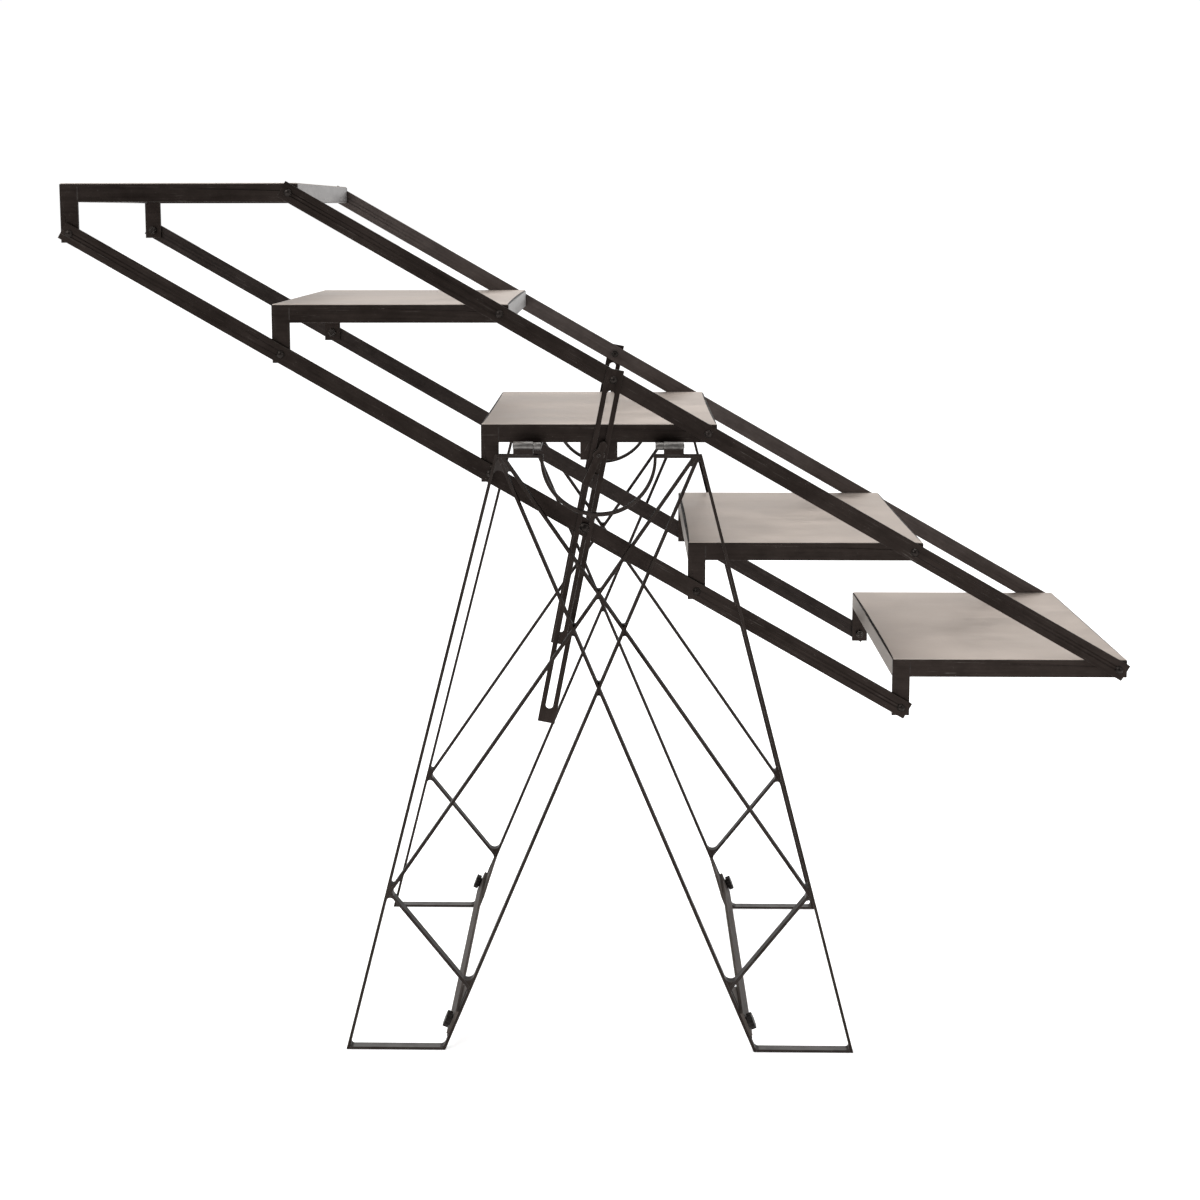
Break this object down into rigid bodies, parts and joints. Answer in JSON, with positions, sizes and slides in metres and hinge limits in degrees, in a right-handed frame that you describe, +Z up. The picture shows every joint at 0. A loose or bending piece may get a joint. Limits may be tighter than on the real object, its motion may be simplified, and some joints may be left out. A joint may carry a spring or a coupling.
{
  "type": "adjustable stepped display stand",
  "caption": "Stepped display stand: level square shelves on tilting parallelogram rails, clamped by slotted bars, on a welded trestle of thin steel bars.",
  "frame": {"origin": "on the floor, under the middle shelf's centre, midway between the near and far frames", "axes": "+X along the steps towards the lowest shelf, +Y from the near side to the far side, +Z up"},
  "size_m": [1.814, 0.5576, 1.4995],
  "materials": {
    "dark_steel": "satin",
    "grey_steel": "satin",
    "sheet_steel": "satin"
  },
  "bodies": {
    "stand": {"near_outer_legs": "dark_steel", "near_whole_inner_leg": "dark_steel", "near_split_inner_leg": "dark_steel", "near_left_diagonal": "dark_steel", "near_right_diagonal": "dark_steel", "near_braces_and_foot_bars": "dark_steel", "near_top_strip": "dark_steel", "near_gussets": "dark_steel", "far_outer_legs": "dark_steel", "far_whole_inner_leg": "dark_steel", "far_split_inner_leg": "dark_steel", "far_left_diagonal": "dark_steel", "far_right_diagonal": "dark_steel", "far_braces_and_foot_bars": "dark_steel", "far_top_strip": "dark_steel", "far_gussets": "dark_steel", "cross_beams": "dark_steel", "hinge_leaves": "dark_steel", "hinge_barrels": "grey_steel", "hinge_knuckles": "grey_steel", "hinge_pins": "dark_steel", "left_stretcher": "grey_steel", "right_stretcher": "grey_steel", "stretcher_lugs": "dark_steel", "clamp_tabs": "dark_steel", "clamp_studs_and_washers": "dark_steel", "shelf_3_brackets": "dark_steel", "shelf_3_side_bars": "dark_steel", "shelf_3_sheet_top": "sheet_steel", "shelf_3_pivot_bolts": "dark_steel"},
    "upper_rails": {"near_upper_rail": "dark_steel", "far_upper_rail": "dark_steel", "slotted_bar_bolts": "dark_steel"},
    "lower_rails": {"near_lower_rail": "dark_steel", "far_lower_rail": "dark_steel", "slot_guide_bolts": "dark_steel"},
    "shelf_1": {"shelf_1_brackets": "dark_steel", "shelf_1_side_bars": "dark_steel", "shelf_1_sheet_top": "sheet_steel", "shelf_1_pivot_bolts": "dark_steel"},
    "shelf_2": {"shelf_2_brackets": "dark_steel", "shelf_2_side_bars": "dark_steel", "shelf_2_sheet_top": "sheet_steel", "shelf_2_pivot_bolts": "dark_steel"},
    "shelf_4": {"shelf_4_brackets": "dark_steel", "shelf_4_side_bars": "dark_steel", "shelf_4_sheet_top": "sheet_steel", "shelf_4_pivot_bolts": "dark_steel"},
    "shelf_5": {"shelf_5_brackets": "dark_steel", "shelf_5_side_bars": "dark_steel", "shelf_5_sheet_top": "sheet_steel", "shelf_5_pivot_bolts": "dark_steel"},
    "near_slotted_bar": {"near_slotted_bar": "dark_steel"},
    "near_clamp_lever": {"near_clamp_lever": "dark_steel"},
    "far_slotted_bar": {"far_slotted_bar": "dark_steel"},
    "far_clamp_lever": {"far_clamp_lever": "dark_steel"},
    "near_left_knob": {"near_left_knob": "dark_steel"},
    "near_right_knob": {"near_right_knob": "dark_steel"},
    "far_left_knob": {"far_left_knob": "dark_steel"},
    "far_right_knob": {"far_right_knob": "dark_steel"}
  },
  "joints": [
    {"name": "tilt", "type": "hinge", "parent": "stand", "child": "upper_rails", "pos_m": [0.185, 0, 1.074], "axis": [0, 1, 0], "range_deg": [-22, 60]},
    {"name": "lower_rail_turn", "type": "hinge", "parent": "stand", "child": "lower_rails", "pos_m": [-0.185, 0, 1.006], "axis": [0, 1, 0], "range_deg": [-22, 60]},
    {"name": "shelf_1_turn", "type": "hinge", "parent": "upper_rails", "child": "shelf_1", "pos_m": [-0.51821, 0, 1.48], "axis": [0, 1, 0], "range_deg": [-60, 22]},
    {"name": "shelf_2_turn", "type": "hinge", "parent": "upper_rails", "child": "shelf_2", "pos_m": [-0.16661, 0, 1.277], "axis": [0, 1, 0], "range_deg": [-60, 22]},
    {"name": "shelf_4_turn", "type": "hinge", "parent": "upper_rails", "child": "shelf_4", "pos_m": [0.53661, 0, 0.871], "axis": [0, 1, 0], "range_deg": [-60, 22]},
    {"name": "shelf_5_turn", "type": "hinge", "parent": "upper_rails", "child": "shelf_5", "pos_m": [0.88821, 0, 0.668], "axis": [0, 1, 0], "range_deg": [-60, 22]},
    {"name": "near_slotted_bar_turn", "type": "hinge", "parent": "upper_rails", "child": "near_slotted_bar", "pos_m": [0.02479, -0.2331, 1.1665], "axis": [0, 1, 0], "range_deg": [-31.34, 11.62]},
    {"name": "far_slotted_bar_turn", "type": "hinge", "parent": "upper_rails", "child": "far_slotted_bar", "pos_m": [0.02479, 0.2331, 1.1665], "axis": [0, 1, 0], "range_deg": [-31.34, 11.62]},
    {"name": "near_clamp_lever_turn", "type": "hinge", "parent": "stand", "child": "near_clamp_lever", "pos_m": [0, -0.2427, 1.04], "axis": [0, 1, 0], "range_deg": [-120, 0]},
    {"name": "far_clamp_lever_turn", "type": "hinge", "parent": "stand", "child": "far_clamp_lever", "pos_m": [0, 0.2427, 1.04], "axis": [0, 1, 0], "range_deg": [0, 120]},
    {"name": "near_left_knob_turn", "type": "hinge", "parent": "stand", "child": "near_left_knob", "pos_m": [-0.24989, -0.2656, 0.048], "axis": [-0.9223, 0, 0.3864], "continuous": true},
    {"name": "near_right_knob_turn", "type": "hinge", "parent": "stand", "child": "near_right_knob", "pos_m": [0.24989, -0.2656, 0.048], "axis": [0.9223, 0, 0.3864], "continuous": true},
    {"name": "far_left_knob_turn", "type": "hinge", "parent": "stand", "child": "far_left_knob", "pos_m": [-0.24989, 0.2656, 0.048], "axis": [-0.9223, 0, 0.3864], "continuous": true},
    {"name": "far_right_knob_turn", "type": "hinge", "parent": "stand", "child": "far_right_knob", "pos_m": [0.24989, 0.2656, 0.048], "axis": [0.9223, 0, 0.3864], "continuous": true}
  ],
  "couplings": [
    {"joint": "lower_rail_turn", "follows": "tilt", "ratio": 1},
    {"joint": "shelf_1_turn", "follows": "tilt", "ratio": -1},
    {"joint": "shelf_2_turn", "follows": "tilt", "ratio": -1},
    {"joint": "shelf_4_turn", "follows": "tilt", "ratio": -1},
    {"joint": "shelf_5_turn", "follows": "tilt", "ratio": -1},
    {"joint": "near_slotted_bar_turn", "follows": "tilt", "ratio": -0.519},
    {"joint": "far_slotted_bar_turn", "follows": "tilt", "ratio": -0.519}
  ]
}
